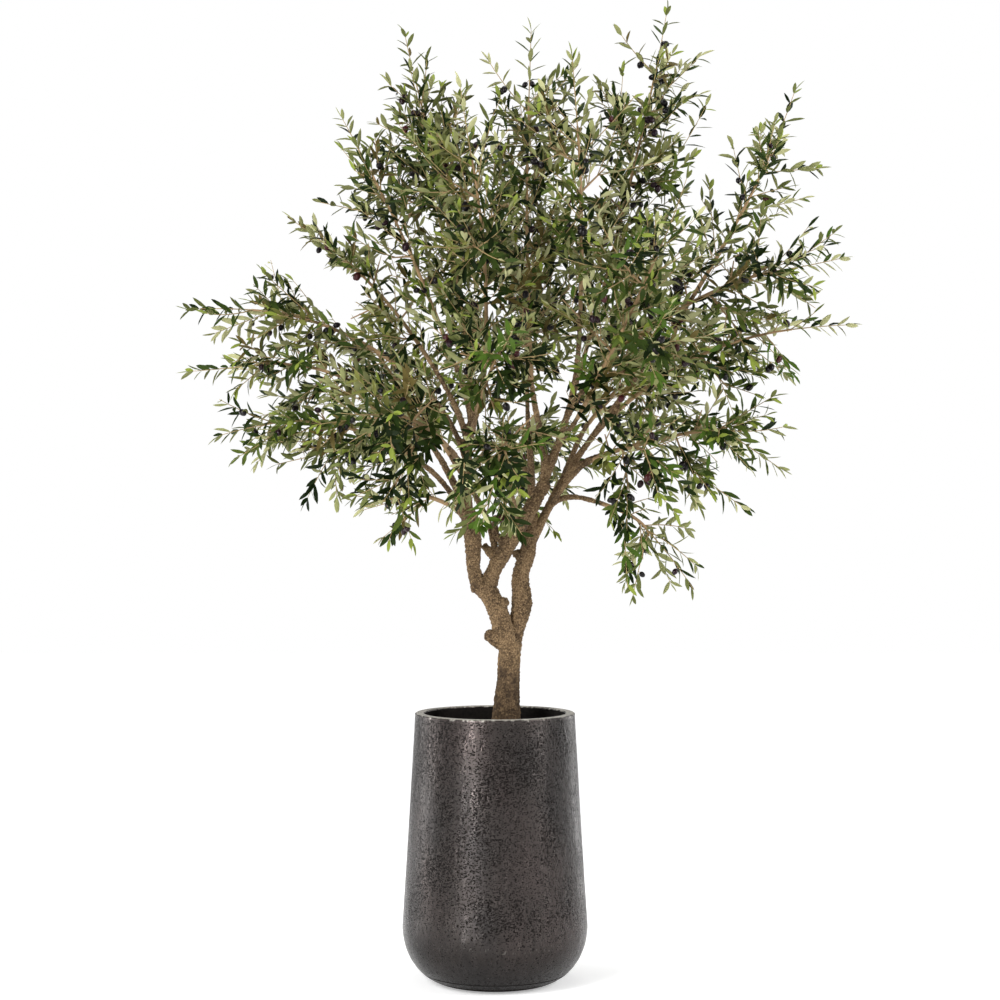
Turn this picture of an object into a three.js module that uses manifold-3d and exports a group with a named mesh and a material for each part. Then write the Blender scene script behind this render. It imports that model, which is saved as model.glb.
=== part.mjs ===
// An artificial olive tree that stands in a tall tapered planter, in millimetres, +Z up.
// The origin is the centre of the planter's flat underside. The front of the tree faces -Y.
// The planter is filled, and the trunk's flat foot stands on the fill. The trunk forks low, its limbs
// carry boughs, and each bough ends where it enters its own mass of foliage: a stem with side twigs,
// with leaves fused on. Each leaf is larger than life and stands for one leafy spray.
import * as THREE from "three";
import { mergeVertices } from "three/addons/utils/BufferGeometryUtils.js";
import Module from "manifold-3d";

const wasm = await Module();
wasm.setup();

// Running gap between pieces that touch
const GAP = 0.3;

// Planter and the fill in it
const RIM_HEIGHT = 805;
const RIM_RADIUS = 240;
const RIM_EDGE = 4;
const WALL = 29;
const MIDDLE_HEIGHT = 482;
const MIDDLE_RADIUS = 258;
const BELLY_HEIGHT = 170;
const BELLY_RADIUS = 278;
const FOOT_RADIUS = 140;
const FLOOR_THICKNESS = 30;
const FILL_HEIGHT = 740;
const PLANTER_SIDES = 28;

// Limbs are drawn with few sides, and a bough's bends come from shares of its straight length
const LOWER_SIDES = 8;
const RINGS_A_STATION = 1.5;
const BOUGH_SIDES = 5;
const BOUGH_RINGS = 4;
const BOUGH_TIP_RADIUS = 7;
const BOUGH_PULL = 0.34;
const LEAVE_STRAIGHT = 0.45;
const ARRIVE_STRAIGHT = 0.5;

// A leaf's shape, as lengths and as shares of its length
const LEAF_LENGTH = 215;
const LEAF_WIDTH = 84;
const LEAF_THICKNESS = 4;
const LEAF_WIDEST = 0.42;
const LEAF_ARCH = 0.06;
const LEAF_SUNK = 2;

// How leaves stand on a twig, with angles in radians: they lean out from it in pairs, each pair is
// turned from the last, and a leaf that finds no room tries the other turns
const LEAF_LEAN = 0.75;
const LEAN_SPREAD = 0.15;
const PAIR_TURN = 1.2;
const TURN_SPREAD = 0.5;
const ROLL_SPREAD = 1.3;
const PLACE_SPREAD = 0.05;
const LEAF_TURNS = [0, 0.7, -0.7];
const LEAF_APART = 80;
const STEM_PAIR_SPACING = 190;
const FIRST_PAIR = 0.86;
const LAST_PAIR = 0.2;
const TWIG_LEAF_PLACES = [0.7, 0.3];

// Stems and side twigs: radii, and how many leaf lengths short of its aim each ends
const STEM_RADIUS = 6.8;
const STEM_TIP_RADIUS = 5;
const STEM_SIDES = 4;
const STEM_RINGS = 3;
const STEM_BEND = 0.4;
const STEM_SHORT = 0.95;
const TWIG_RADIUS = 5;
const TWIG_TIP_RADIUS = 4;
const TWIG_SIDES = 3;
const TWIG_SHORT = 0.85;
const SHORTEST_TWIG = 40;
const TWIG_SPACING = 158;
const FEWEST_TWIGS = 4;
const FIRST_AIM = 0.75;
const LAST_AIM = -0.6;
const FIRST_FOOT = 0.85;
const LAST_FOOT = 0.12;
const AIM_SPREAD = 0.2;
const TWIG_SIZES = [1, 0.8, 0.6];
const TWIG_TESTS = [0.15, 0.3, 0.45, 0.6, 0.8, 1];
const GOLDEN_ANGLE = (137.5 * Math.PI) / 180;

// Fruit hangs under the middle of a twig
const FRUIT_RADIUS = 13;
const FRUIT_STRETCH = 1.45;
const FRUIT_SIDES = 5;
const FRUIT_RINGS = 3;

// How foliage keeps to its space: the spheroid starts a little before its carrier's tip, a leaf may
// stand slightly out of it, neighbours keep apart, and limbs get room
const SPACE_LEAD = 0.12;
const LEAF_REACH = 1.08;
const SPACE_MARGIN = 0.03;
const LIMB_ROOM = 9;
const MARK_STEP = 12;
const FIRST_SEED = 4001;
const SEED_STEP = 613;
const WARM_UP = 5;

// Lower limbs, which the front view shows bare, each from foot to tip as [x, y, z, radius]
const LOWER_LIMBS = {
  trunk: [
    [35, 0, FILL_HEIGHT + GAP, 50],
    [35, 0, 800, 42],
    [38, 0, 880, 36],
    [42, 0, 956, 33],
    [44, 0, 1004, 33],
  ],
  left_limb: [
    [48, -2, 985, 30],
    [26, -10, 1042, 31],
    [12, -12, 1100, 29],
    [-10, -12, 1150, 29],
    [-34, -8, 1186, 34],
  ],
  right_limb: [
    [56, 12, 965, 18],
    [61, 18, 1040, 25],
    [80, 22, 1128, 31],
    [77, 26, 1215, 25],
    [98, 31, 1285, 24],
    [113, 36, 1400, 18],
  ],
  left_arm: [
    [-44, -8, 1174, 29],
    [-62, -14, 1228, 19],
    [-65, -20, 1280, 22],
    [-67, -24, 1332, 26],
    [-82, -30, 1412, 23],
  ],
  right_arm: [
    [-20, -8, 1184, 27],
    [-4, -10, 1230, 21],
    [26, -15, 1284, 25],
    [56, -24, 1332, 21],
    [96, -32, 1400, 22],
    [150, -28, 1494, 20],
  ],
};

// Short limbs, spurs and knobs that stand out of the lower limbs: the limb that each belongs to, and
// its stations from inside that limb to its blunt end
const STUBS = [
  ["trunk", [36, -6, 1010, 30], [2, -12, 1028, 25], [-27, -14, 1040, 16]],
  ["left_limb", [0, -12, 1132, 24], [36, -16, 1134, 15]],
  ["right_limb", [92, 30, 1266, 22], [60, 30, 1283, 13]],
  ["right_arm", [60, -26, 1340, 20], [84, -30, 1346, 14]],
  ["right_arm", [38, -20, 1306, 15], [4, -16, 1338, 12], [0, -14, 1392, 8]],
  ["right_arm", [10, -12, 1262, 15], [-34, 20, 1304, 10]],
];

// Boughs: the limb that each leaves, how far along it, the bough's tip, and the radius of its foot
const BOUGHS = {
  left_leader: ["left_arm", 0.97, [-75, 10, 1780], 16],
  mid_leader: ["right_arm", 0.97, [110, 20, 1800], 15],
  right_leader: ["right_arm", 0.92, [262, 40, 1850], 15],
  right_bough: ["right_limb", 0.78, [380, 40, 1720], 15],
  back_leader: ["right_limb", 0.95, [100, 230, 1750], 14],
  front_leader: ["right_arm", 0.6, [20, -230, 1540], 10],
  back_left_bough: ["right_arm", 0.22, [-140, 220, 1580], 12],
  right_upper_bough: ["right_bough", 0.5, [600, 40, 2060], 10],
  right_low_bough: ["right_bough", 0.5, [400, -60, 1600], 10],
  right_hanging_bough: ["right_bough", 0.3, [320, -100, 1430], 10],
  back_right_bough: ["right_bough", 0.4, [290, 220, 1680], 11],
  right_middle_bough: ["right_leader", 0.6, [430, -70, 1930], 10],
  front_right_bough: ["right_leader", 0.34, [240, -200, 1680], 11],
  left_outer_bough: ["left_arm", 0.92, [-300, -10, 1720], 12],
  left_low_bough: ["left_arm", 0.8, [-230, -80, 1560], 12],
  left_bottom_bough: ["left_arm", 0.63, [-140, -120, 1430], 10],
  left_upper_bough: ["left_leader", 0.5, [-190, 20, 1850], 11],
  left_top_bough: ["left_leader", 0.75, [-140, -60, 1900], 10],
  front_left_bough: ["left_leader", 0.2, [-140, -200, 1600], 11],
  front_upper_bough: ["left_leader", 0.58, [-30, -170, 1830], 11],
  front_top_bough: ["right_leader", 0.72, [250, -160, 2000], 10],
  back_low_bough: ["back_leader", 0.3, [60, 280, 1570], 10],
  left_shoulder_bough: ["left_leader", 0.36, [-260, 60, 1820], 10],
  right_skirt_bough: ["right_bough", 0.2, [290, -140, 1560], 10],
  front_middle_bough: ["left_leader", 0.4, [-50, -200, 1700], 10],
};

// Masses of foliage: the limb whose tip carries each, the mass's furthest tip, and its half width
// round the line between them
const MASSES = {
  top_left_foliage: ["left_leader", [-260, 80, 2850], 300],
  top_centre_foliage: ["mid_leader", [100, 20, 2850], 300],
  top_right_foliage: ["right_leader", [535, 60, 2935], 280],
  right_outer_foliage: ["right_bough", [1078, 10, 2040], 255],
  right_upper_foliage: ["right_upper_bough", [920, 0, 2650], 200],
  right_low_foliage: ["right_low_bough", [895, -90, 1680], 280],
  right_hanging_foliage: ["right_hanging_bough", [620, -140, 1220], 200],
  right_middle_foliage: ["right_middle_bough", [1030, -120, 2205], 300],
  back_right_foliage: ["back_right_bough", [710, 640, 2060], 380],
  front_right_foliage: ["front_right_bough", [540, -590, 2310], 370],
  left_outer_foliage: ["left_outer_bough", [-912, -20, 1905], 260],
  left_low_foliage: ["left_low_bough", [-850, -110, 1720], 240],
  left_bottom_foliage: ["left_bottom_bough", [-510, -220, 1415], 170],
  left_upper_foliage: ["left_upper_bough", [-610, 10, 2340], 340],
  left_top_foliage: ["left_top_bough", [-450, -100, 2600], 270],
  front_left_foliage: ["front_left_bough", [-400, -640, 1730], 370],
  front_upper_foliage: ["front_upper_bough", [-80, -430, 2620], 320],
  front_top_foliage: ["front_top_bough", [230, -400, 2700], 300],
  front_low_foliage: ["front_leader", [40, -720, 1590], 340],
  back_upper_foliage: ["back_leader", [110, 640, 2480], 380],
  back_left_foliage: ["back_left_bough", [-480, 640, 2000], 380],
  back_low_foliage: ["back_low_bough", [90, 780, 1620], 340],
  left_shoulder_foliage: ["left_shoulder_bough", [-925, 50, 2095], 240],
  right_skirt_foliage: ["right_skirt_bough", [630, -330, 1590], 290],
  front_middle_foliage: ["front_middle_bough", [50, -700, 1930], 330],
};

const COLOURS = {
  planter: { color: 0x3b3734, roughness: 0.45, metalness: 0.7 },
  fill: { color: 0x2b2420, roughness: 1, metalness: 0 },
  bark: { color: 0x8a6f52, roughness: 0.95, metalness: 0 },
  foliage: { color: 0x5f6b3c, roughness: 0.6, metalness: 0 },
};

const UP = new THREE.Vector3(0, 0, 1);
const vector = (x, y, z) => new THREE.Vector3(x, y, z);

// Seeded numbers between 0 and 1, the same on every run
function seeded(seed) {
  let state = seed;
  return () => {
    state = (state * 16807) % 2147483647;
    return state / 2147483647;
  };
}

function solidOf(geometry) {
  const bare = geometry.clone();
  bare.deleteAttribute("normal");
  bare.deleteAttribute("uv");
  const merged = mergeVertices(bare, 1e-3);
  const vertProperties = new Float32Array(merged.attributes.position.array);
  const triVerts = new Uint32Array(merged.index.array);
  return new wasm.Manifold(new wasm.Mesh({ numProp: 3, vertProperties, triVerts }));
}

function geometryOf(solid) {
  const mesh = solid.getMesh();
  const geometry = new THREE.BufferGeometry();
  geometry.setAttribute("position", new THREE.BufferAttribute(mesh.vertProperties, 3));
  geometry.setIndex(new THREE.BufferAttribute(mesh.triVerts, 1));
  geometry.computeVertexNormals();
  return geometry;
}

// Joins solids into the one body that they hang together in. Loose scraps are dropped and sealed
// hollows are filled, because only the largest closed surface is kept.
function fused(solids) {
  const bodies = wasm.Manifold.union(solids).decompose();
  return bodies.reduce((most, body) => (body.volume() > most.volume() ? body : most));
}

// Two directions square to a tangent, the first of them level
function across(tangent) {
  const reference = Math.abs(tangent.z) < 0.98 ? UP : vector(1, 0, 0);
  const side = new THREE.Vector3().crossVectors(tangent, reference).normalize();
  return [side, new THREE.Vector3().crossVectors(side, tangent)];
}

// A round limb is a closed cylinder whose rings are carried onto a curve and sized on the way.
// grow makes it fatter and longer all over, for cutting its neighbours clear of it.
function limbGeometry(limb, grow = 0) {
  const { curve, radiusAt, sides, rings } = limb;
  const geometry = new THREE.CylinderGeometry(1, 1, 1, sides, rings);
  const frames = [];
  let side = across(curve.getTangent(0))[0];
  for (let k = 0; k <= rings; k++) {
    const point = curve.getPoint(k / rings);
    const tangent = curve.getTangent(k / rings);
    side = side.clone().addScaledVector(tangent, -side.dot(tangent)).normalize();
    if (k === 0) point.addScaledVector(tangent, -grow);
    if (k === rings) point.addScaledVector(tangent, grow);
    frames.push({ point, side, other: new THREE.Vector3().crossVectors(tangent, side) });
  }
  const position = geometry.getAttribute("position");
  for (let i = 0; i < position.count; i++) {
    const k = Math.round((position.getY(i) + 0.5) * rings);
    const frame = frames[k];
    const radius = radiusAt(k / rings) + grow / Math.cos(Math.PI / sides);
    const moved = frame.point
      .clone()
      .addScaledVector(frame.other, position.getX(i) * radius)
      .addScaledVector(frame.side, position.getZ(i) * radius);
    position.setXYZ(i, moved.x, moved.y, moved.z);
  }
  return geometry;
}

const limbSolid = (limb, grow) => solidOf(limbGeometry(limb, grow));

// A radius that goes evenly from one listed value to the next along a limb
function taper(radii) {
  return (t) => {
    const place = t * (radii.length - 1);
    const k = Math.min(Math.floor(place), radii.length - 2);
    return THREE.MathUtils.lerp(radii[k], radii[k + 1], place - k);
  };
}

// A lower limb runs through its stations
function lowerLimb(stations) {
  const rings = Math.ceil(RINGS_A_STATION * (stations.length - 1));
  const points = stations.map(([x, y, z]) => vector(x, y, z));
  const curve = new THREE.CatmullRomCurve3(points, false, "centripetal");
  return { curve, radiusAt: taper(stations.map((station) => station[3])), sides: LOWER_SIDES, rings };
}

// A bough leaves its limb partly along the limb's own direction and arrives heading for its mass's tip
function boughLimb(parent, share, tip, footRadius, heading) {
  const foot = parent.curve.getPoint(share);
  const end = vector(...tip);
  const pull = BOUGH_PULL * foot.distanceTo(end);
  const straight = end.clone().sub(foot).normalize();
  const leave = parent.curve.getTangent(share).lerp(straight, LEAVE_STRAIGHT).normalize();
  const arrive = heading.clone().sub(end).normalize().lerp(straight, ARRIVE_STRAIGHT).normalize();
  const curve = new THREE.CubicBezierCurve3(
    foot,
    foot.clone().addScaledVector(leave, pull),
    end.clone().addScaledVector(arrive, -pull),
    end,
  );
  const radiusAt = taper([footRadius, BOUGH_TIP_RADIUS]);
  return { curve, radiusAt, sides: BOUGH_SIDES, rings: BOUGH_RINGS };
}

// All limbs by name, in the order in which they grow
function growLimbs() {
  const limbs = {};
  for (const [name, stations] of Object.entries(LOWER_LIMBS)) {
    limbs[name] = lowerLimb(stations);
  }
  const headings = {};
  for (const [carrier, tip] of Object.values(MASSES)) headings[carrier] = vector(...tip);
  for (const [name, [parent, share, tip, footRadius]] of Object.entries(BOUGHS)) {
    limbs[name] = boughLimb(limbs[parent], share, tip, footRadius, headings[name]);
  }
  return limbs;
}

// Each limb's own solid, with a saddle cut at its foot to fit round the limbs that came before
function limbSolids(limbs) {
  const solids = {};
  const cutters = [];
  for (const [name, limb] of Object.entries(limbs)) {
    const stubs = STUBS.filter(([owner]) => owner === name);
    const pieces = [limb, ...stubs.map(([, ...stations]) => lowerLimb(stations))];
    const whole = wasm.Manifold.union(pieces.map((piece) => limbSolid(piece)));
    const near = cutters.filter((cutter) => whole.intersect(cutter).volume() > 0);
    solids[name] = fused([near.length ? whole.subtract(wasm.Manifold.union(near)) : whole]);
    cutters.push(wasm.Manifold.union(pieces.map((piece) => limbSolid(piece, GAP))));
  }
  return solids;
}

// A mass keeps to a spheroid on the line from its carrier's tip to its own tip. Depth is 0 at the
// spheroid's centre and 1 at its surface.
function massSpace(start, tip, width) {
  const axis = tip.clone().sub(start).normalize();
  const foot = start.clone().addScaledVector(axis, -SPACE_LEAD * start.distanceTo(tip));
  const centre = foot.clone().lerp(tip, 0.5);
  const halfLength = 0.5 * foot.distanceTo(tip);
  const depth = (point) => {
    const out = point.clone().sub(centre);
    const along = out.dot(axis);
    const aside = Math.sqrt(Math.max(0, out.lengthSq() - along * along));
    return Math.hypot(along / halfLength, aside / width);
  };
  return { axis, centre, halfLength, width, depth };
}

// The stem carries on from the limb's tip and ends one leaf short of the mass's own tip
function massStem(limb, tip) {
  const start = limb.curve.getPoint(1);
  const heading = limb.curve.getTangent(1);
  const straight = tip.clone().sub(start).normalize();
  const end = tip.clone().addScaledVector(straight, -STEM_SHORT * LEAF_LENGTH);
  const foot = start.clone().addScaledVector(heading, GAP);
  const bend = start.clone().addScaledVector(heading, STEM_BEND * start.distanceTo(tip));
  const curve = new THREE.QuadraticBezierCurve3(foot, bend, end);
  return { curve, radiusAt: taper([STEM_RADIUS, STEM_TIP_RADIUS]), sides: STEM_SIDES, rings: STEM_RINGS };
}

function layOutMasses(limbs) {
  return Object.entries(MASSES).map(([name, [carrier, tip, width]], index) => {
    const start = limbs[carrier].curve.getPoint(1);
    const space = massSpace(start, vector(...tip), width);
    return { name, index, space, stem: massStem(limbs[carrier], vector(...tip)) };
  });
}

// Points along every limb and stem, each with its radius, that foliage has to stay clear of
function keepOut(limbs, masses) {
  const marks = [];
  const mark = (limb, owner) => {
    const count = Math.ceil(limb.curve.getLength() / MARK_STEP);
    for (let k = 0; k <= count; k++) {
      const t = k / count;
      marks.push({ point: limb.curve.getPoint(t), radius: limb.radiusAt(t), owner });
    }
  };
  for (const limb of Object.values(limbs)) mark(limb, null);
  for (const [, ...stations] of STUBS) mark(lowerLimb(stations), null);
  for (const mass of masses) mark(mass.stem, mass);
  return marks;
}

// A leaf's six corners: root, tip, both edges, and its two faces at the widest place
function leafCorners(root, direction, roll) {
  const [level, other] = across(direction);
  const normal = other.clone().applyAxisAngle(direction, roll);
  const flat = level.clone().applyAxisAngle(direction, roll);
  const middle = root
    .clone()
    .addScaledVector(direction, LEAF_WIDEST * LEAF_LENGTH)
    .addScaledVector(normal, LEAF_ARCH * LEAF_LENGTH);
  const corner = (way, size) => middle.clone().addScaledVector(way, size);
  return {
    middle,
    root: root.clone().addScaledVector(direction, -LEAF_SUNK),
    tip: root.clone().addScaledVector(direction, LEAF_LENGTH),
    edges: [corner(flat, LEAF_WIDTH / 2), corner(flat, -LEAF_WIDTH / 2)],
    faces: [corner(normal, LEAF_THICKNESS / 2), corner(normal, -LEAF_THICKNESS / 2)],
  };
}

// Grows one mass's twigs, leaves and fruit as lists of curves and places
function growFoliage(mass, masses, marks) {
  const random = seeded(FIRST_SEED + SEED_STEP * mass.index);
  for (let k = 0; k < WARM_UP; k++) random();
  const spread = (amount) => amount * (2 * random() - 1);
  const { axis, centre, halfLength, width, depth } = mass.space;
  const rivals = masses.filter((other) => other !== mass);
  const twigs = [];
  const leaves = [];
  const fruit = [];

  // Where two spaces overlap, a point belongs to the mass that it lies deeper in
  const inside = (point, most) => {
    const own = depth(point);
    return own < most && rivals.every((other) => own + SPACE_MARGIN < other.space.depth(point));
  };
  const clear = (point) =>
    marks.every(({ point: place, radius, owner }) => {
      return owner === mass || place.distanceTo(point) > radius + LIMB_ROOM;
    });

  // A leaf that would leave the mass's space or touch a limb is turned a little, or else skipped
  const addLeaf = (root, direction, roll) => {
    const corners = leafCorners(root, direction, roll);
    const { tip, edges } = corners;
    const points = [tip, ...edges, ...edges.map((edge) => edge.clone().lerp(tip, 0.5))];
    points.push(root.clone().lerp(tip, 0.25), root.clone().lerp(tip, 0.75));
    if (!points.every((point) => inside(point, LEAF_REACH) && clear(point))) return false;
    if (leaves.some((leaf) => leaf.middle.distanceTo(corners.middle) < LEAF_APART)) return false;
    leaves.push(corners);
    return true;
  };

  // One leaf ends a twig, and pairs of leaves stand along it, each pair turned from the last
  const leafTwig = (curve, places) => {
    addLeaf(curve.getPoint(1), curve.getTangent(1), spread(ROLL_SPREAD));
    places.forEach((place, pair) => {
      for (const opposite of [0, Math.PI]) {
        const t = place + spread(PLACE_SPREAD);
        const tangent = curve.getTangent(t);
        const [level, other] = across(tangent);
        const lean = LEAF_LEAN + spread(LEAN_SPREAD);
        const turn = opposite + PAIR_TURN * pair + spread(TURN_SPREAD);
        const roll = spread(ROLL_SPREAD);
        LEAF_TURNS.some((more) => {
          const direction = tangent
            .clone()
            .multiplyScalar(Math.cos(lean))
            .addScaledVector(level, Math.sin(lean) * Math.cos(turn + more))
            .addScaledVector(other, Math.sin(lean) * Math.sin(turn + more));
          return addLeaf(curve.getPoint(t), direction, roll);
        });
      }
    });
  };

  // A side twig aims from the stem at a point of the spheroid and ends about one leaf short of it
  const addTwig = (foot, aim) => {
    const straight = aim.clone().sub(foot);
    const length = straight.length() - TWIG_SHORT * LEAF_LENGTH;
    if (length < SHORTEST_TWIG) return false;
    const end = foot.clone().addScaledVector(straight.normalize(), length);
    const curve = new THREE.LineCurve3(foot, end);
    const points = TWIG_TESTS.map((place) => curve.getPoint(place));
    if (!points.every((point) => inside(point, 1) && clear(point))) return false;
    twigs.push(curve);
    leafTwig(curve, TWIG_LEAF_PLACES);
    return true;
  };

  const pairs = Math.max(2, Math.round(mass.stem.curve.getLength() / STEM_PAIR_SPACING));
  const stemPlace = (pair) => THREE.MathUtils.lerp(FIRST_PAIR, LAST_PAIR, pair / (pairs - 1));
  leafTwig(mass.stem.curve, Array.from({ length: pairs }, (_, pair) => stemPlace(pair)));

  // Side twigs go round the stem by the golden angle, from near its tip down to near its foot, and
  // aim at rings of the spheroid
  const aims = Math.max(FEWEST_TWIGS, Math.round((2 * halfLength) / TWIG_SPACING));
  for (let k = 0; k < aims; k++) {
    const share = (k + 0.5) / aims;
    const along = THREE.MathUtils.lerp(FIRST_AIM, LAST_AIM, share);
    const turn = k * GOLDEN_ANGLE + spread(AIM_SPREAD);
    const [level, other] = across(axis);
    const outward = level.multiplyScalar(Math.cos(turn)).addScaledVector(other, Math.sin(turn));
    const foot = mass.stem.curve.getPoint(THREE.MathUtils.lerp(FIRST_FOOT, LAST_FOOT, share));
    const edge = width * Math.sqrt(1 - along * along);
    TWIG_SIZES.some((size) => {
      const aim = centre.clone().addScaledVector(axis, along * halfLength);
      return addTwig(foot, aim.addScaledVector(outward, size * edge));
    });
  }
  if (twigs.length) fruit.push(twigs[0].getPoint(0.5));
  return { twigs, leaves, fruit };
}

// A leaf is a thin eight-faced blade, widest nearer its root and a little arched
function leafSolid({ root, tip, edges, faces }) {
  const geometry = new THREE.OctahedronGeometry(1);
  const position = geometry.getAttribute("position");
  const corners = { x: [tip, root], y: faces, z: edges };
  for (let i = 0; i < position.count; i++) {
    const way = ["x", "y", "z"].find((name, n) => Math.abs(position.getComponent(i, n)) > 0.5);
    const value = position.getX(i) + position.getY(i) + position.getZ(i);
    const corner = corners[way][value > 0 ? 0 : 1];
    position.setXYZ(i, corner.x, corner.y, corner.z);
  }
  return solidOf(geometry);
}

// A fruit hangs close under its twig, sunk into it
function fruitSolid(place) {
  const geometry = new THREE.SphereGeometry(FRUIT_RADIUS, FRUIT_SIDES, FRUIT_RINGS).rotateX(Math.PI / 2);
  geometry.scale(1, 1, FRUIT_STRETCH);
  geometry.translate(place.x, place.y, place.z - FRUIT_RADIUS * FRUIT_STRETCH);
  return solidOf(geometry);
}

function massSolid(mass, foliage) {
  const radiusAt = taper([TWIG_RADIUS, TWIG_TIP_RADIUS]);
  const twigs = foliage.twigs.map((curve) => limbSolid({ curve, radiusAt, sides: TWIG_SIDES, rings: 1 }));
  const leaves = foliage.leaves.map(leafSolid);
  return fused([limbSolid(mass.stem), ...twigs, ...leaves, ...foliage.fruit.map(fruitSolid)]);
}

// Outline of the planter in radius and height: underside, belly, wall, rim, then down the inside
function planterGeometry() {
  const belly = new THREE.EllipseCurve(
    FOOT_RADIUS,
    BELLY_HEIGHT,
    BELLY_RADIUS - FOOT_RADIUS,
    BELLY_HEIGHT,
    -Math.PI / 2,
    0,
  );
  const wall = new THREE.QuadraticBezierCurve(
    new THREE.Vector2(BELLY_RADIUS, BELLY_HEIGHT),
    new THREE.Vector2(2 * MIDDLE_RADIUS - (BELLY_RADIUS + RIM_RADIUS) / 2, MIDDLE_HEIGHT),
    new THREE.Vector2(RIM_RADIUS, RIM_HEIGHT - RIM_EDGE),
  );
  const outline = [
    new THREE.Vector2(0, 0),
    ...belly.getPoints(5),
    ...wall.getPoints(3).slice(1),
    new THREE.Vector2(RIM_RADIUS - RIM_EDGE, RIM_HEIGHT),
    new THREE.Vector2(RIM_RADIUS - WALL + RIM_EDGE, RIM_HEIGHT),
    new THREE.Vector2(RIM_RADIUS - WALL, RIM_HEIGHT - RIM_EDGE),
    new THREE.Vector2(MIDDLE_RADIUS - WALL, MIDDLE_HEIGHT),
    new THREE.Vector2(BELLY_RADIUS - WALL, BELLY_HEIGHT),
    new THREE.Vector2(FOOT_RADIUS, FLOOR_THICKNESS),
    new THREE.Vector2(0, FLOOR_THICKNESS),
  ];
  return new THREE.LatheGeometry(outline, PLANTER_SIDES).rotateX(Math.PI / 2);
}

// The fill has the shape of the planter's inside, held clear of its wall and floor
function fillGeometry() {
  const away = GAP / Math.cos(Math.PI / PLANTER_SIDES);
  const share = (FILL_HEIGHT - MIDDLE_HEIGHT) / (RIM_HEIGHT - RIM_EDGE - MIDDLE_HEIGHT);
  const topRadius = THREE.MathUtils.lerp(MIDDLE_RADIUS, RIM_RADIUS, share) - WALL;
  const outline = [
    new THREE.Vector2(0, FLOOR_THICKNESS + GAP),
    new THREE.Vector2(FOOT_RADIUS - away, FLOOR_THICKNESS + GAP),
    new THREE.Vector2(BELLY_RADIUS - WALL - away, BELLY_HEIGHT),
    new THREE.Vector2(MIDDLE_RADIUS - WALL - away, MIDDLE_HEIGHT),
    new THREE.Vector2(topRadius - away, FILL_HEIGHT),
    new THREE.Vector2(0, FILL_HEIGHT),
  ];
  return new THREE.LatheGeometry(outline, PLANTER_SIDES).rotateX(Math.PI / 2);
}

const tree = new THREE.Group();
function addPiece(name, geometry, look) {
  const mesh = new THREE.Mesh(geometry, new THREE.MeshStandardMaterial(COLOURS[look]));
  mesh.name = name;
  tree.add(mesh);
}

addPiece("planter", planterGeometry(), "planter");
addPiece("fill", fillGeometry(), "fill");
const limbs = growLimbs();
for (const [name, solid] of Object.entries(limbSolids(limbs))) {
  addPiece(name, geometryOf(solid), "bark");
}
const masses = layOutMasses(limbs);
const marks = keepOut(limbs, masses);
for (const mass of masses) {
  const foliage = growFoliage(mass, masses, marks);
  addPiece(mass.name, geometryOf(massSolid(mass, foliage)), "foliage");
}

export default tree;
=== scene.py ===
"""Looks of an artificial olive tree that stands in a tall tapered planter.

Places and sizes are in millimetres, as the solids' are, and every mesh is made in metres. The limbs
and the first twigs follow the same rule as the solids do. Where the solids have one large leaf, a
leafy shoot grows here, and finer shoots stand between them.
"""

import math

import bpy
import numpy as np
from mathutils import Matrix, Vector, noise
from numpy.linalg import norm


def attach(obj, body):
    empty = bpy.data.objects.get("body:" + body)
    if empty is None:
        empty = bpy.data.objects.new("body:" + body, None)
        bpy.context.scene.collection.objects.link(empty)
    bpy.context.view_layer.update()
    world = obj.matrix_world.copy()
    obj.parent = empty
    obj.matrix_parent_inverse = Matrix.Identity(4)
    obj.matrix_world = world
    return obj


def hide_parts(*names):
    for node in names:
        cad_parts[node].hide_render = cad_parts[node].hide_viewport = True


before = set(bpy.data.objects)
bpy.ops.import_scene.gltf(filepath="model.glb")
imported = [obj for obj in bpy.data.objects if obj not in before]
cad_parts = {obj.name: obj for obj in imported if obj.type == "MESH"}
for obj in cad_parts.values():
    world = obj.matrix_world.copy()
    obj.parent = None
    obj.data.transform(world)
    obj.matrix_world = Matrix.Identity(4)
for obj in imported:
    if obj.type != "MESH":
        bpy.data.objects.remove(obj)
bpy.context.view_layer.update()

MM = 0.001
UP = np.array([0.0, 0.0, 1.0])
GOLDEN_ANGLE = math.radians(137.5)

# Camera: level, in front of the tree, with this much of its axis plane across the picture
CAMERA_PLACE = (15, -6600, 1442)
PICTURE_WIDTH = 3000
SENSOR_WIDTH = 36

# Limbs and masses of foliage, as in the solids
GAP = 0.3
FILL_HEIGHT = 740
LOWER_LIMBS = {
    "trunk": [(35, 0, 740.3, 50), (35, 0, 800, 42), (38, 0, 880, 36), (42, 0, 956, 33), (44, 0, 1004, 33)],
    "left_limb": [(48, -2, 985, 30), (26, -10, 1042, 31), (12, -12, 1100, 29), (-10, -12, 1150, 29),
                  (-34, -8, 1186, 34)],
    "right_limb": [(56, 12, 965, 18), (61, 18, 1040, 25), (80, 22, 1128, 31), (77, 26, 1215, 25),
                   (98, 31, 1285, 24), (113, 36, 1400, 18)],
    "left_arm": [(-44, -8, 1174, 29), (-62, -14, 1228, 19), (-65, -20, 1280, 22), (-67, -24, 1332, 26),
                 (-82, -30, 1412, 23)],
    "right_arm": [(-20, -8, 1184, 27), (-4, -10, 1230, 21), (26, -15, 1284, 25), (56, -24, 1332, 21),
                  (96, -32, 1400, 22), (150, -28, 1494, 20)],
}
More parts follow.
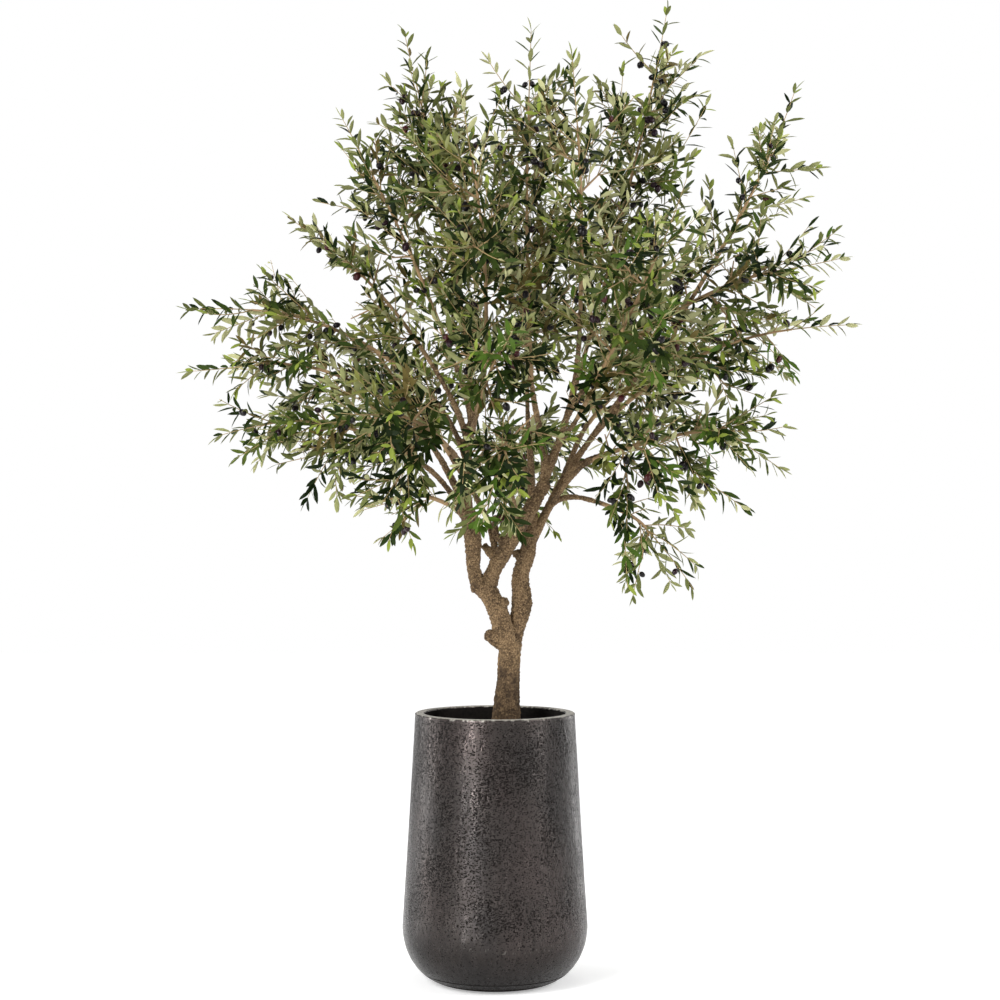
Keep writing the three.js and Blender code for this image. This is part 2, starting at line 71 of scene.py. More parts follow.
STUBS = [
    [(36, -6, 1010, 30), (2, -12, 1028, 25), (-27, -14, 1040, 16)],
    [(0, -12, 1132, 24), (36, -16, 1134, 15)],
    [(92, 30, 1266, 22), (60, 30, 1283, 13)],
    [(60, -26, 1340, 20), (84, -30, 1346, 14)],
    [(38, -20, 1306, 15), (4, -16, 1338, 12), (0, -14, 1392, 8)],
    [(10, -12, 1262, 15), (-34, 20, 1304, 10)],
]
BOUGH_TIP_RADIUS = 7
BOUGH_PULL = 0.34
LEAVE_STRAIGHT = 0.45
ARRIVE_STRAIGHT = 0.5
BOUGHS = {
    "left_leader": ("left_arm", 0.97, (-75, 10, 1780), 16),
    "mid_leader": ("right_arm", 0.97, (110, 20, 1800), 15),
    "right_leader": ("right_arm", 0.92, (262, 40, 1850), 15),
    "right_bough": ("right_limb", 0.78, (380, 40, 1720), 15),
    "back_leader": ("right_limb", 0.95, (100, 230, 1750), 14),
    "front_leader": ("right_arm", 0.6, (20, -230, 1540), 10),
    "back_left_bough": ("right_arm", 0.22, (-140, 220, 1580), 12),
    "right_upper_bough": ("right_bough", 0.5, (600, 40, 2060), 10),
    "right_low_bough": ("right_bough", 0.5, (400, -60, 1600), 10),
    "right_hanging_bough": ("right_bough", 0.3, (320, -100, 1430), 10),
    "back_right_bough": ("right_bough", 0.4, (290, 220, 1680), 11),
    "right_middle_bough": ("right_leader", 0.6, (430, -70, 1930), 10),
    "front_right_bough": ("right_leader", 0.34, (240, -200, 1680), 11),
    "left_outer_bough": ("left_arm", 0.92, (-300, -10, 1720), 12),
    "left_low_bough": ("left_arm", 0.8, (-230, -80, 1560), 12),
    "left_bottom_bough": ("left_arm", 0.63, (-140, -120, 1430), 10),
    "left_upper_bough": ("left_leader", 0.5, (-190, 20, 1850), 11),
    "left_top_bough": ("left_leader", 0.75, (-140, -60, 1900), 10),
    "front_left_bough": ("left_leader", 0.2, (-140, -200, 1600), 11),
    "front_upper_bough": ("left_leader", 0.58, (-30, -170, 1830), 11),
    "front_top_bough": ("right_leader", 0.72, (250, -160, 2000), 10),
    "back_low_bough": ("back_leader", 0.3, (60, 280, 1570), 10),
    "left_shoulder_bough": ("left_leader", 0.36, (-260, 60, 1820), 10),
    "right_skirt_bough": ("right_bough", 0.2, (290, -140, 1560), 10),
    "front_middle_bough": ("left_leader", 0.4, (-50, -200, 1700), 10),
}
# Masses by name, each at the tip of the bough with its name or of the limb that carries it
MASSES = {
    "top_left": ((-260, 80, 2850), 300),
    "top_centre": ((100, 20, 2850), 300),
    "top_right": ((535, 60, 2935), 280),
    "right_outer": ((1078, 10, 2040), 255),
    "right_upper": ((920, 0, 2650), 200),
    "right_low": ((895, -90, 1680), 280),
    "right_hanging": ((620, -140, 1220), 200),
    "right_middle": ((1030, -120, 2205), 300),
    "back_right": ((710, 640, 2060), 380),
    "front_right": ((540, -590, 2310), 370),
    "left_outer": ((-912, -20, 1905), 260),
    "left_low": ((-850, -110, 1720), 240),
    "left_bottom": ((-510, -220, 1415), 170),
    "left_upper": ((-610, 10, 2340), 340),
    "left_top": ((-450, -100, 2600), 270),
    "front_left": ((-400, -640, 1730), 370),
    "front_upper": ((-80, -430, 2620), 320),
    "front_top": ((230, -400, 2700), 300),
    "front_low": ((40, -720, 1590), 340),
    "back_upper": ((110, 640, 2480), 380),
    "back_left": ((-480, 640, 2000), 380),
    "back_low": ((90, 780, 1620), 340),
    "left_shoulder": ((-925, 50, 2095), 240),
    "right_skirt": ((630, -330, 1590), 290),
    "front_middle": ((50, -700, 1930), 330),
}
CARRIERS = {"top_left": "left_leader", "top_centre": "mid_leader", "top_right": "right_leader",
            "right_outer": "right_bough", "front_low": "front_leader", "back_upper": "back_leader"}

# The solids' rule for twigs and their large leaves, each of which is a spray here
SPRAY_LENGTH = 215
SPRAY_WIDTH = 84
SPRAY_WIDEST = 0.42
SPRAY_ARCH = 0.06
SPRAY_LEAN = 0.75
LEAN_SPREAD = 0.15
PAIR_TURN = 1.2
TURN_SPREAD = 0.5
ROLL_SPREAD = 1.3
PLACE_SPREAD = 0.05
SPRAY_TURNS = (0, 0.7, -0.7)
SPRAY_APART = 80
STEM_PAIR_SPACING = 190
FIRST_PAIR, LAST_PAIR = 0.86, 0.2
TWIG_PLACES = (0.7, 0.3)
STEM_BEND = 0.4
STEM_SHORT = 0.95
TWIG_SHORT = 0.85
SHORTEST_TWIG = 40
TWIG_SPACING = 158
FEWEST_TWIGS = 4
FIRST_AIM, LAST_AIM = 0.75, -0.6
FIRST_FOOT, LAST_FOOT = 0.85, 0.12
AIM_SPREAD = 0.2
TWIG_SIZES = (1, 0.8, 0.6)
TWIG_TESTS = (0.15, 0.3, 0.45, 0.6, 0.8, 1)
SPACE_LEAD = 0.12
SPRAY_REACH = 1.08
SPACE_MARGIN = 0.03
LIMB_ROOM = 9
MARK_STEP = 12
FIRST_SEED = 4001
SEED_STEP = 613
WARM_UP = 5

# Wood that shows among the leaves, as radii at foot and tip
SOLID_STEM_RADII = (6.8, 5)
STEM_RADII = (6.8, 3)
TWIG_RADII = (3.5, 1.9)
SHOOT_RADII = (1.9, 0.9)

# Shoots and leaves turn round their wood by up to this much more or less than they would
TURN_DRIFT = 0.5

# Finer shoots between the sprays. Their steps along the wood go by the first words of a mass's name
SHOOT_STEP = 22
SHOOT_STEPS = {"front": 25, "back": 29, "left": 25, "right": 26, "left_bottom": 15, "left_low": 19,
               "right_hanging": 18, "right_skirt": 22, "top_left": 18}
SPRAY_SHOOTS = (0.78, 0.98)
SHOOT_LENGTHS = (125, 245)
SHOOT_SIZES = (1, 0.75, 0.5)
SHOOT_LEAN = (0.65, 1.05)
SHOOT_DRIFT = (0.3, 0.9)
SHOOT_LIFT = (-0.12, 0.14)
LIFT_BY_AXIS = 0.1
AXIS_WITHOUT_LIFT = 0.2
SHOOT_PULL, SHOOT_RUN = 0.5, 0.94
SHOOT_PLACE = 0.6
SHOOT_TESTS = (0.3, 0.55, 0.8, 1)
SHOOT_REACH = 1.06
# Shoots in front end above this height, because the photo shows the forks behind them bare
LOWEST_FRONT = 1345
# Openings in the crown that the photo shows, as x, z and radius on the tree's axis plane
OPENINGS = [(-475, 2070, 60), (-553, 2180, 36), (-790, 2105, 48), (-486, 2447, 44), (-363, 1368, 46),
            (-620, 1515, 36), (905, 1905, 50), (985, 1865, 50), (425, 2702, 40), (715, 1500, 42),
            (470, 1232, 32), (300, 2396, 32), (205, 1365, 30)]

# Leaves at their real size, smaller and leaning less towards a shoot's tip
LEAF_LENGTH = 57
LEAF_WIDTH = 15.4
LEAF_THICKNESS = 0.8
LEAF_PITCH = 28
TIP_GAP = 0.4
LEAF_SIZES = (0.82, 1.18)
LEAF_WIDTHS = (0.85, 1.15)
TIP_LEAF_SIZES = (0.65, 0.9)
SMALLER_AFTER, SMALLER_BY = 0.6, 0.3
LEAF_LEANS = (1.0, 0.6)
LEAF_LEAN_SPREAD = 0.3
TIP_LEAF_SPREAD = 0.15
LEAF_DROOP = 0.25
LEAF_FACES_UP = 0.45
LEAF_FACE_SPREAD = 0.3
LEAF_REACH = 1.14
LEAF_ROOM = 4
FRESH_SHARE = 0.6
LEAVES_IN_PIECE = 7500
SHOOTS_SEED, LEAVES_SEED, OLIVES_SEED = 100, 900, 77

# Olives: the share of shoots with a bunch, then the shares of bunches by number and by ripeness
OLIVE_SHARE = 0.3
BUNCHES_OF = (0.55, 0.33, 0.12)
RIPENESS = (0.64, 0.24, 0.12)
OLIVE_RADIUS = 9.2
OLIVE_SIZES = (0.85, 1.12)
OLIVE_STRETCH = 1.32
OLIVE_HANG = (0.5, 1.4)
STALK_LENGTHS = (5, 12)
STALK_RADII = (0.9, 0.8)


def unit(vector):
    vector = np.asarray(vector, float)
    return vector / norm(vector, axis=-1, keepdims=True)


def bezier(*points):
    """A Bezier curve, as a function from places between 0 and 1 to points."""
    def curve(t):
        t = np.asarray(t, float)[..., None]
        level = [np.asarray(point, float) for point in points]
        while len(level) > 1:
            level = [a + (b - a) * t for a, b in zip(level, level[1:])]
        return level[0]
    return curve


def spline(points):
    """A centripetal Catmull-Rom curve through the points."""
    points = np.asarray(points, float)
    padded = np.vstack([2 * points[0] - points[1], points, 2 * points[-1] - points[-2]])

    def at(t):
        k = min(int(t * (len(points) - 1)), len(points) - 2)
        w = t * (len(points) - 1) - k
        p0, p1, p2, p3 = padded[k:k + 4]
        d0, d1, d2 = (norm(b - a) ** 0.5 for a, b in ((p0, p1), (p1, p2), (p2, p3)))
        leave = ((p1 - p0) / d0 - (p2 - p0) / (d0 + d1) + (p2 - p1) / d1) * d1
        arrive = ((p2 - p1) / d1 - (p3 - p1) / (d1 + d2) + (p3 - p2) / d2) * d1
        square = 3 * (p2 - p1) - 2 * leave - arrive
        return p1 + leave * w + square * w**2 + (2 * (p1 - p2) + leave + arrive) * w**3

    return lambda t: np.array([at(x) for x in np.ravel(t)]).reshape(np.shape(t) + (3,))


class Limb:
    """A round limb: its curve, and its radii at even places along it."""

    def __init__(self, curve, radii):
        self.point = curve
        self.radii = radii

    def at(self, t):
        """The point and the direction at one place along it."""
        ends = self.point(np.clip([t - 1e-4, t + 1e-4], 0, 1))
        return self.point(t), unit(ends[1] - ends[0])

    def radius(self, t):
        return np.interp(t, np.linspace(0, 1, len(self.radii)), self.radii)

    def length(self):
        return norm(np.diff(self.point(np.linspace(0, 1, 201)), axis=0), axis=1).sum()


def across(tangent):
    """Two directions square to a tangent, the first of them level."""
    side = unit(np.cross(tangent, UP if abs(tangent[2]) < 0.98 else [1, 0, 0]))
    return side, np.cross(side, tangent)


def aside(tangent, turn):
    """The direction square to a tangent at a turn round it."""
    level, other = across(tangent)
    return level * math.cos(turn) + other * math.sin(turn)


def leaning(tangent, turn, lean):
    """A tangent bent over by a lean, at a turn round it."""
    return tangent * math.cos(lean) + aside(tangent, turn) * math.sin(lean)


def lower_limb(stations):
    return Limb(spline([station[:3] for station in stations]), [station[3] for station in stations])


def bough_limb(parent, share, tip, foot_radius, heading):
    """A bough leaves its limb partly along it, and arrives heading for its mass's tip."""
    (foot, own), end = parent.at(share), np.array(tip, float)
    pull = BOUGH_PULL * norm(end - foot)
    straight = unit(end - foot)
    leave = unit(own + (straight - own) * LEAVE_STRAIGHT)
    aim = unit(np.array(heading) - end)
    arrive = unit(aim + (straight - aim) * ARRIVE_STRAIGHT)
    return Limb(bezier(foot, foot + leave * pull, end - arrive * pull, end), [foot_radius, BOUGH_TIP_RADIUS])


def carrier(mass_name):
    return CARRIERS.get(mass_name, mass_name + "_bough")


def grow_limbs():
    limbs = {name: lower_limb(stations) for name, stations in LOWER_LIMBS.items()}
    headings = {carrier(name): tip for name, (tip, _) in MASSES.items()}
    for name, (parent, share, tip, foot_radius) in BOUGHS.items():
        limbs[name] = bough_limb(limbs[parent], share, tip, foot_radius, headings[name])
    return limbs


class Seeded:
    """The solids' seeded numbers."""

    def __init__(self, seed):
        self.state = seed
        for _ in range(WARM_UP):
            self.draw()

    def draw(self):
        self.state = self.state * 16807 % 2147483647
        return self.state / 2147483647

    def spread(self, amount):
        return amount * (2 * self.draw() - 1)


class Mass:
    """One mass of foliage: the spheroid that it keeps to, and its stem."""

    def __init__(self, index, name, limb, tip, width):
        start, heading = limb.at(1.0)
        tip = np.array(tip, float)
        reach = norm(tip - start)
        self.index, self.name, self.width = index, name, width
        self.axis = unit(tip - start)
        foot = start - self.axis * SPACE_LEAD * reach
        self.centre = (foot + tip) / 2
        self.half_length = norm(tip - foot) / 2
        bend = start + heading * STEM_BEND * reach
        end = tip - self.axis * STEM_SHORT * SPRAY_LENGTH
        self.stem = Limb(bezier(start + heading * GAP, bend, end), SOLID_STEM_RADII)

    def depth(self, points):
        """0 at the spheroid's centre and 1 at its surface."""
        out = points - self.centre
        along = out @ self.axis
        off = np.sqrt(np.maximum(0, (out * out).sum(-1) - along**2))
        return np.hypot(along / self.half_length, off / self.width)


def in_openings(points):
    """Which points lie in one of the openings, as seen from the camera's place."""
    away = np.atleast_2d(points) - CAMERA_PLACE
    seen = away[:, [0, 2]] * (-CAMERA_PLACE[1] / away[:, 1:2]) + [CAMERA_PLACE[0], CAMERA_PLACE[2]]
    return np.any([np.hypot(*(seen - (x, z)).T) < radius for x, z, radius in OPENINGS], axis=0)


class Crown:
    """All the masses, with the places along limbs and stems that foliage stays clear of."""

    def __init__(self, limbs):
        self.masses = [Mass(index, name + "_foliage", limbs[carrier(name)], tip, width)
                       for index, (name, (tip, width)) in enumerate(MASSES.items())]
        marks = []
        stubs = [lower_limb(stations) for stations in STUBS]
        for limb, owner in [*((limb, -1) for limb in [*limbs.values(), *stubs]),
                            *((mass.stem, mass.index) for mass in self.masses)]:
            t = np.linspace(0, 1, math.ceil(limb.length() / MARK_STEP) + 1)
            marks.append(np.column_stack([limb.point(t), limb.radius(t), np.full(len(t), owner)]))
        self.marks = np.vstack(marks)

    def inside(self, mass, points, most):
        """Where two spaces overlap, a point belongs to the mass that it lies deeper in."""
        points = np.atleast_2d(points)
        own = mass.depth(points)
        rivals = np.min([other.depth(points) for other in self.masses if other is not mass], axis=0)
        return (own < most) & (own + SPACE_MARGIN < rivals)

    def clear(self, mass, points, room):
        marks = self.marks[self.marks[:, 4] != mass.index]
        away = norm(np.atleast_2d(points)[:, None] - marks[None, :, :3], axis=2)
        return (away > marks[:, 3] + room).all(axis=1)

    def fits(self, mass, points, most, room):
        return self.inside(mass, points, most).all() and self.clear(mass, points, room).all()


def grow_twigs(mass, crown):
    """The solids' twigs in one mass, and the root and direction of each of its sprays."""
    random = Seeded(FIRST_SEED + SEED_STEP * mass.index)
    twigs, sprays, middles = [], [], []

    def add_spray(root, direction, roll):
        flat = aside(direction, -roll)
        normal = np.cross(flat, direction)
        middle = root + direction * SPRAY_WIDEST * SPRAY_LENGTH + normal * SPRAY_ARCH * SPRAY_LENGTH
        tip = root + direction * SPRAY_LENGTH
        edges = [middle + flat * way * SPRAY_WIDTH / 2 for way in (1, -1)]
        points = [tip, *edges, *((edge + tip) / 2 for edge in edges),
                  root + (tip - root) * 0.25, root + (tip - root) * 0.75]
        if not crown.fits(mass, points, SPRAY_REACH, LIMB_ROOM):
            return False
        if any(norm(middle - other_middle) < SPRAY_APART for other_middle in middles):
            return False
        middles.append(middle)
        sprays.append((root, direction))
        return True

    def spray_twig(twig, places):
        add_spray(*twig.at(1.0), random.spread(ROLL_SPREAD))
        for pair, place in enumerate(places):
            for opposite in (0, math.pi):
                t = place + random.spread(PLACE_SPREAD)
                lean = SPRAY_LEAN + random.spread(LEAN_SPREAD)
                turn = opposite + PAIR_TURN * pair + random.spread(TURN_SPREAD)
                roll = random.spread(ROLL_SPREAD)
                root, tangent = twig.at(t)
                for more in SPRAY_TURNS:
                    if add_spray(root, leaning(tangent, turn + more, lean), roll):
                        break

    def add_twig(foot, aim):
        length = norm(aim - foot) - TWIG_SHORT * SPRAY_LENGTH
        if length < SHORTEST_TWIG:
            return False
        twig = Limb(bezier(foot, foot + unit(aim - foot) * length), TWIG_RADII)
        if not crown.fits(mass, twig.point(TWIG_TESTS), 1, LIMB_ROOM):
            return False
        twigs.append(twig)
        spray_twig(twig, TWIG_PLACES)
        return True

    pairs = max(2, round(mass.stem.length() / STEM_PAIR_SPACING))
    spray_twig(mass.stem, np.linspace(FIRST_PAIR, LAST_PAIR, pairs))
    aims = max(FEWEST_TWIGS, round(2 * mass.half_length / TWIG_SPACING))
    for k in range(aims):
        share = (k + 0.5) / aims
        along = FIRST_AIM + (LAST_AIM - FIRST_AIM) * share
        outward = aside(mass.axis, k * GOLDEN_ANGLE + random.spread(AIM_SPREAD))
        foot = mass.stem.point(FIRST_FOOT + (LAST_FOOT - FIRST_FOOT) * share)
        middle = mass.centre + mass.axis * along * mass.half_length
        edge = mass.width * math.sqrt(1 - along * along)
        for size in TWIG_SIZES:
            if add_twig(foot, middle + outward * size * edge):
                break
    return twigs, sprays


class Shoot:
    """A thin leafy shoot. Its leaves share one shade of upper side and one of underside."""

    def __init__(self, foot, direction, length, lift, rng):
        end = foot + direction * length * SHOOT_RUN + UP * lift * length
        self.limb = Limb(bezier(foot, foot + direction * length * SHOOT_PULL, end), SHOOT_RADII)
        self.length = length
        self.place = self.limb.point(SHOOT_PLACE)
        self.draw = rng.random(2)


def grow_shoots(mass, crown, twigs, sprays, rng):
    """Shoots in place of the sprays, and finer ones all along the stem and twigs."""
    shoots = []
    words = mass.name.split("_")
    step = SHOOT_STEPS.get("_".join(words[:2]), SHOOT_STEPS.get(words[0], SHOOT_STEP))

    def add_shoot(foot, direction, length):
        lift = LIFT_BY_AXIS * (mass.axis[2] - AXIS_WITHOUT_LIFT) + rng.uniform(*SHOOT_LIFT)
        shoot = Shoot(foot, direction, length, lift, rng)
        points = shoot.limb.point(SHOOT_TESTS)
        if in_openings(points).any() or not crown.fits(mass, points, SHOOT_REACH, LIMB_ROOM):
            return False
        if mass.name == "front_low_foliage" and points[-1, 2] < LOWEST_FRONT:
            return False
        shoots.append(shoot)
        return True

    for root, direction in sprays:
        add_shoot(root, direction, SPRAY_LENGTH * rng.uniform(*SPRAY_SHOOTS))
    for limb in [mass.stem, *twigs]:
        count = int(limb.length() / step)
        for k in range(count):
            t = (k + rng.uniform(*SHOOT_DRIFT)) / count
            foot, tangent = limb.at(t)
            turn = k * GOLDEN_ANGLE + rng.uniform(-TURN_DRIFT, TURN_DRIFT)
            direction = leaning(tangent, turn, rng.uniform(*SHOOT_LEAN))
            length = rng.uniform(*SHOOT_LENGTHS)
            for size in SHOOT_SIZES:
                if add_shoot(foot, direction, length * size):
                    break
    return shoots


def shoot_leaves(mass, crown, shoot, rng):
    """One row for each leaf of a shoot: root, direction, face normal, length, width, and whether fresh."""
    nodes = max(2, round(shoot.length / LEAF_PITCH))
    rows = []
    first_turn = rng.uniform(0, math.pi)
    for node in range(nodes):
        t = (node + 1) / (nodes + TIP_GAP)
        foot, tangent = shoot.limb.at(t)
        smaller = 1 - SMALLER_BY * max(0, t - SMALLER_AFTER) / (1 - SMALLER_AFTER)
        for opposite in (0, math.pi):
            turn = first_turn + node * math.pi / 2 + opposite + rng.uniform(-TURN_DRIFT, TURN_DRIFT)
            lean = np.interp(t, [0, 1], LEAF_LEANS) + rng.uniform(-LEAF_LEAN_SPREAD, LEAF_LEAN_SPREAD)
            direction = unit(leaning(tangent, turn, lean) - UP * rng.uniform(0, LEAF_DROOP))
            root = foot + aside(tangent, turn) * SHOOT_RADII[1] / 2
            rows.append((root, direction, tangent, rng.uniform(*LEAF_SIZES) * smaller, node == nodes - 1))
    tip, tangent = shoot.limb.at(1.0)
    direction = unit(tangent + rng.normal(0, TIP_LEAF_SPREAD, 3))
    rows.append((tip - tangent * 2, direction, across(tangent)[1], rng.uniform(*TIP_LEAF_SIZES), True))
    leaves = []
    for root, direction, facing, size, fresh in rows:
        normal = facing + UP * LEAF_FACES_UP + rng.normal(0, LEAF_FACE_SPREAD, 3)
        normal = unit(normal - direction * (normal @ direction))
        width = LEAF_WIDTH * size**0.5 * rng.uniform(*LEAF_WIDTHS)
        leaves.append([*root, *direction, *normal, LEAF_LENGTH * size, width, fresh])
    leaves = np.array(leaves)
    tips = leaves[:, :3] + leaves[:, 3:6] * leaves[:, 9:10]
    keep = crown.inside(mass, tips, LEAF_REACH) & crown.clear(mass, tips, LEAF_ROOM) & ~in_openings(tips)
    return leaves[keep]


# Meshes

def new_object(name, data):
    made = bpy.data.objects.new(name, data)
    bpy.context.scene.collection.objects.link(made)
    return made


def mesh_piece(name, vertices, faces, materials, face_slots=None, smooth=True):
    """A piece made of arrays: vertices in millimetres, and faces as a list of arrays of corners."""
    mesh = bpy.data.meshes.new(name)
    corners = [face for block in faces for face in block.tolist()]
    mesh.from_pydata(np.asarray(vertices) * MM, [], corners, shade_flat=not smooth)
    for material in materials:
        mesh.materials.append(material)
    if face_slots is not None:
        mesh.polygons.foreach_set("material_index", np.asarray(face_slots, np.int32))
    mesh.update(calc_edges=True)
    mesh.validate()
    return new_object(name, mesh)


def point_values(mesh, kind):
    """One row for each point of a mesh: its place, as co, or its normal."""
    values = np.zeros(len(mesh.vertices) * 3, np.float32)
    mesh.vertices.foreach_get(kind, values)
    return values.reshape(-1, 3)


def moved_points(mesh, places, **values):
    """Moves a mesh's points to places in metres, and keeps values that its material reads."""
    mesh.vertices.foreach_set("co", places.astype(np.float32).ravel())
    for name, numbers in values.items():
        mesh.attributes.new(name, "FLOAT", "POINT").data.foreach_set("value", numbers.astype(np.float32))
    mesh.update()


def noises(places):
    """Noise at each place, with features about 1 wide."""
    return np.array([noise.noise(Vector(place)) for place in places])


def ring_faces(rows, sides):
    """Quads between rows of points in rings, and caps on the two points that follow the rings."""
    around = np.arange(sides)
    after = (around + 1) % sides
    start = np.arange(rows - 1)[:, None] * sides
    quads = np.stack([start + around, start + after, start + sides + after, start + sides + around], axis=2)
    last, pole = (rows - 1) * sides, np.full(sides, rows * sides)
    caps = [np.column_stack([after, around, pole]), np.column_stack([last + around, last + after, pole + 1])]
    return quads.reshape(-1, 4), np.vstack(caps)


def tube(limb, sides, rings):
    """Vertices, quads and triangles of a closed round limb with domed ends."""
    t = np.linspace(0, 1, rings + 1)
    points, radius = limb.point(t), limb.radius(t)
    tangents = unit(np.gradient(points, axis=0))
    side = across(tangents[0])[0]
    angles = np.arange(sides)[:, None] * 2 * math.pi / sides
    rows = []
    for point, tangent, size in zip(points, tangents, radius):
        side = unit(side - tangent * (side @ tangent))
        rows.append(point + size * (np.cos(angles) * side + np.sin(angles) * np.cross(tangent, side)))
    ends = [points[0] - tangents[0] * radius[0] * 0.5, points[-1] + tangents[-1] * radius[-1] * 0.5]
    return np.vstack([*rows, *ends]), *ring_faces(rings + 1, sides)


def lathe(outline, sides):
    """Vertices and faces of an outline turned round the Z axis, closed at both ends."""
    angles = np.arange(sides) * 2 * math.pi / sides
    radius, height = outline[:, 0:1], outline[:, 1:2]
    rings = np.stack([radius * np.cos(angles), radius * np.sin(angles), height + 0 * angles], axis=2)
    ends = [(0, 0, outline[0, 1]), (0, 0, outline[-1, 1])]
    return np.vstack([rings.reshape(-1, 3), ends]), *ring_faces(len(outline), sides)


def ball(around, down):
    """A round body on its own poles, 1 in radius: its upper pole, its rings and its lower pole."""
    tilts = np.arange(1, down) * math.pi / down
    rings, *faces = lathe(np.column_stack([np.sin(tilts), np.cos(tilts)]), around)
    last = len(rings) - 1
    order = np.array([*range(1, last), 0, last])
    outward = [np.roll(order[kind][:, ::-1], 1, axis=1) for kind in faces]
    return np.vstack([(0, 0, 1), rings[:-2], (0, 0, -1)]), *outward


def joined(parts):
    """Many parts, each as vertices and blocks of faces, put together as one."""
    vertices, blocks, offset = [], [], 0
    for points, *faces in parts:
        vertices.append(points)
        blocks.append([face + offset for face in faces])
        offset += len(points)
    return np.vstack(vertices), [np.vstack(kind) for kind in zip(*blocks)]


def stands_for(piece, names):
    """The piece shows in place of the solids of these names."""
    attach(piece, "root")
    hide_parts(*names)


# Materials

def srgb(red, green, blue):
    """A colour as it shows in a picture, 0 to 255, as linear values."""
    values = np.array([red, green, blue]) / 255
    linear = np.where(values <= 0.04045, values / 12.92, ((values + 0.055) / 1.055) ** 2.4)
    return (*linear, 1.0)


def plain_material(name, colour, roughness, **sockets):
    material = bpy.data.materials.new(name)
    material.use_nodes = True
    shader = material.node_tree.nodes["Principled BSDF"]
    for socket, value in {"Base_Color": colour, "Roughness": roughness, **sockets}.items():
        shader.inputs[socket.replace("_", " ")].default_value = value
    return material


class Nodes:
    """Short ways to add nodes to a material or a world."""

    def __init__(self, owner):
        self.tree = owner.node_tree

    def add(self, kind, inputs=None, **settings):
        """A new node, with its settings, and each input as a plain value or another node's output."""
        node = self.tree.nodes.new(kind)
        for name, value in settings.items():
            setattr(node, name, value)
        for name, value in (inputs or {}).items():
            if isinstance(value, (int, float, tuple)):
                node.inputs[name].default_value = value
            else:
                self.tree.links.new(value, node.inputs[name])
        return node

    def feed(self, **sockets):
        """Links values to the sockets of a material's shader."""
        shader = self.tree.nodes["Principled BSDF"]
        for socket, value in sockets.items():
            self.tree.links.new(value, shader.inputs[socket.replace("_", " ")])

    def noise(self, scale, detail=4, stretch=(1, 1, 1), roughness=0.55):
        """Noise in the object's own coordinates, with features about 1 / scale metres wide."""
        place = self.add("ShaderNodeTexCoord").outputs["Object"]
        place = self.add("ShaderNodeMapping", {"Vector": place, "Scale": stretch}).outputs["Vector"]
        inputs = {"Vector": place, "Scale": scale, "Detail": detail, "Roughness": roughness}
        return self.add("ShaderNodeTexNoise", inputs).outputs["Fac"]

    def attribute(self, name):
        return self.add("ShaderNodeAttribute", attribute_name=name).outputs["Fac"]

    def ramp(self, value, stops):
        node = self.add("ShaderNodeValToRGB", {"Fac": value})
        elements = node.color_ramp.elements
        while len(elements) < len(stops):
            elements.new(0.5)
        for element, (position, colour) in zip(elements, stops):
            element.position, element.color = position, srgb(*colour)
        return node.outputs["Color"]

    def mix(self, factor, low, high):
        return self.add("ShaderNodeMix", {0: factor, 6: low, 7: srgb(*high)}, data_type="RGBA").outputs[2]

    def scaled(self, value, low, high, out_low, out_high):
        inputs = {"Value": value, "From Min": low, "From Max": high, "To Min": out_low, "To Max": out_high}
        return self.add("ShaderNodeMapRange", inputs).outputs["Result"]

    def math(self, operation, *values):
        return self.add("ShaderNodeMath", dict(enumerate(values)), operation=operation).outputs[0]

    def bump(self, value, strength, distance, **under):
        inputs = {"Height": value, "Strength": strength, "Distance": distance, **under}
        return self.add("ShaderNodeBump", inputs).outputs["Normal"]


def grainy_material(name, colour, roughness, grain, stops, bump, **sockets):
    """A matt material whose colours and bumps follow one grain."""
    material = plain_material(name, colour, roughness, **sockets)
    nodes = Nodes(material)
    grain = nodes.noise(*grain)
    nodes.feed(Base_Color=nodes.ramp(grain, stops), Normal=nodes.bump(grain, *bump))
    return material


# Metres above the ground between which the bark goes from its dark, wrinkled foot to its own colour
BARK_FOOT = (0.955, 0.985)
BARK_FOOT_UNEVEN = 0.06


def bark_material():
    material = plain_material("bark", srgb(130, 106, 80), 0.92, Specular_IOR_Level=0.25)
    nodes = Nodes(material)
    blotches = nodes.noise(14, 4, (1, 1, 0.6))
    colour = nodes.ramp(blotches, [(0.3, (90, 73, 52)), (0.5, (114, 93, 68)), (0.7, (130, 108, 80))])
    grain = nodes.noise(220, 4, (1, 1, 1), 0.7)
    colour = nodes.mix(nodes.scaled(grain, 0.38, 0.54, 0.75, 0), colour, (56, 40, 26))
    colour = nodes.mix(nodes.scaled(grain, 0.52, 0.66, 0, 0.6), colour, (172, 144, 106))
    relief = nodes.attribute("relief")
    # Painted shade: darker where the relief sinks into hollows. Painted highlight: paler on the raised
    # lumps.
    colour = nodes.mix(nodes.scaled(relief, 0.2, 0.5, 0.7, 0), colour, (46, 34, 23))
    colour = nodes.mix(nodes.scaled(relief, 0.6, 0.95, 0, 0.3), colour, (154, 128, 94))
    edge = nodes.math("MULTIPLY_ADD", nodes.noise(26, 3), BARK_FOOT_UNEVEN, nodes.attribute("height"))
    foot = nodes.scaled(edge, *BARK_FOOT, 1, 0)
    colour = nodes.mix(nodes.math("MULTIPLY", foot, 0.36), colour, (52, 40, 30))
    wrinkles = nodes.scaled(nodes.noise(85, 3, (1, 1, 0.5), 0.6), 0.4, 0.5, 0.6, 0)
    colour = nodes.mix(nodes.math("MULTIPLY", foot, wrinkles), colour, (38, 28, 20))
    rough = nodes.bump(grain, 0.9, 0.004)
    nodes.feed(Base_Color=colour, Normal=nodes.bump(nodes.noise(480, 3), 0.4, 0.001, Normal=rough))
    return material


# Trunk and boughs

